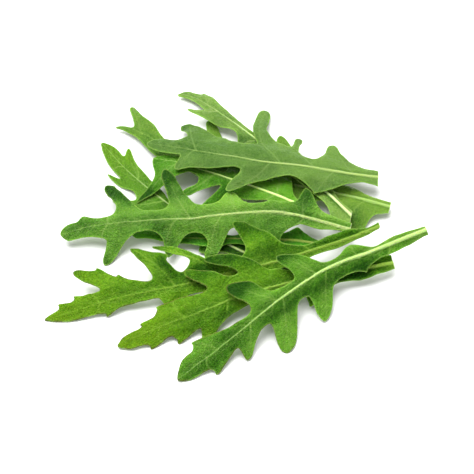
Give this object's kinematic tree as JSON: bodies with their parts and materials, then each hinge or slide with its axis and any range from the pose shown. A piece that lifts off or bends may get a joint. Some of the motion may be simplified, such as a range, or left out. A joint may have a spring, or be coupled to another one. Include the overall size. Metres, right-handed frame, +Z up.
{
  "type": "arugula bunch",
  "caption": "Small loose heap of wild rocket leaves with deep narrow lobes, pale midribs and short cut stalks, lying flat and overlapping like a fan.",
  "frame": {"origin": "centre of the heap's box, on the table", "axes": "+X towards the cut ends of the stalks, +Y to the back of the heap, +Z up"},
  "size_m": [0.152, 0.143, 0.0173],
  "materials": {
    "leaf_deep": "deep green leaf, satin",
    "leaf_bright": "bright green leaf, satin",
    "leaf_soft": "soft grey-green leaf, matte"
  },
  "bodies": {
    "root": {"leaf_left_low": "leaf_bright", "leaf_middle_low": "leaf_deep", "leaf_right_low": "leaf_soft", "leaf_inner": "leaf_bright", "leaf_back": "leaf_soft", "leaf_left_upper": "leaf_deep", "leaf_top": "leaf_soft", "leaf_front_long": "leaf_bright", "leaf_front_middle": "leaf_bright", "leaf_front": "leaf_deep"}
  },
  "joints": []
}
